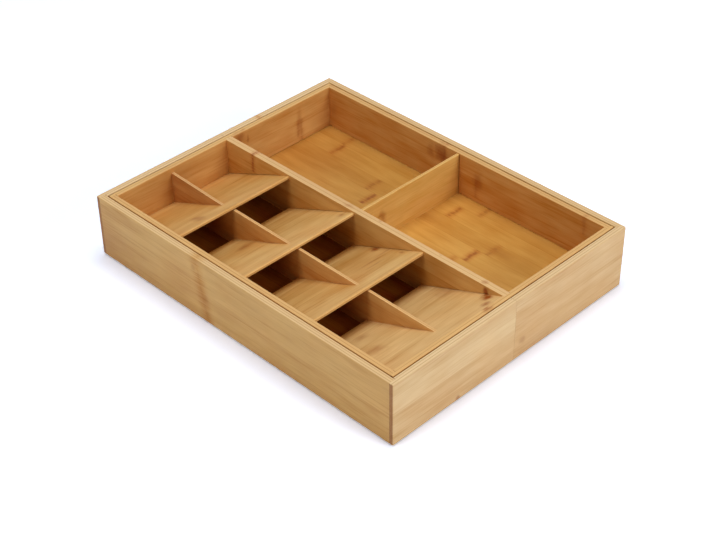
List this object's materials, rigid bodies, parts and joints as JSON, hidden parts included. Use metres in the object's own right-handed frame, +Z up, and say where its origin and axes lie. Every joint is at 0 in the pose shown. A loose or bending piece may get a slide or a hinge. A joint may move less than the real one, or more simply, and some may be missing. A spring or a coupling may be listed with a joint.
{
  "type": "expanding cutlery tray",
  "caption": "Bamboo drawer tray that widens: U-shaped halves slide out from round a centre tray with overlapping cutlery ramps beside open compartments.",
  "frame": {"origin": "on the drawer's bottom, under the middle of the closed tray", "axes": "+X to the right, across the tiers and along the halves' travel; +Y from the front to the back; +Z up"},
  "size_m": [0.292, 0.37, 0.0644],
  "materials": {
    "outer_bamboo": "satin lacquered bamboo, side-pressed strips",
    "centre_bamboo": "satin lacquered bamboo, side-pressed strips",
    "insert_bamboo": "satin lacquered bamboo, plain-pressed strips",
    "floor_bamboo": "satin lacquered bamboo, plain-pressed strips",
    "guide_hardwood": "waxed hardwood",
    "foot_silicone": "translucent grey silicone"
  },
  "bodies": {
    "centre_tray": {"centre_front_wall": "centre_bamboo", "centre_back_wall": "centre_bamboo", "centre_left_wall": "centre_bamboo", "centre_right_wall": "centre_bamboo", "centre_floor_panel": "floor_bamboo", "long_divider": "centre_bamboo", "cross_divider": "insert_bamboo", "ramp_1": "insert_bamboo", "ramp_2": "insert_bamboo", "ramp_3": "insert_bamboo", "ramp_4": "insert_bamboo", "tier_divider_1": "insert_bamboo", "tier_divider_2": "insert_bamboo", "tier_divider_3": "insert_bamboo", "tier_divider_4": "insert_bamboo"},
    "left_half": {"left_side_wall": "outer_bamboo", "left_front_wall": "outer_bamboo", "left_back_wall": "outer_bamboo", "left_floor_panel": "floor_bamboo", "left_front_guide": "guide_hardwood", "left_back_guide": "guide_hardwood", "left_feet": "foot_silicone"},
    "right_half": {"right_side_wall": "outer_bamboo", "right_front_wall": "outer_bamboo", "right_back_wall": "outer_bamboo", "right_floor_panel": "floor_bamboo", "right_front_guide": "guide_hardwood", "right_back_guide": "guide_hardwood", "right_feet": "foot_silicone"}
  },
  "joints": [
    {"name": "left_half_slide", "type": "slide", "parent": "centre_tray", "child": "left_half", "axis": [-1, 0, 0], "range_m": [0, 0.0949]},
    {"name": "right_half_slide", "type": "slide", "parent": "centre_tray", "child": "right_half", "axis": [1, 0, 0], "range_m": [0, 0.0949]}
  ]
}
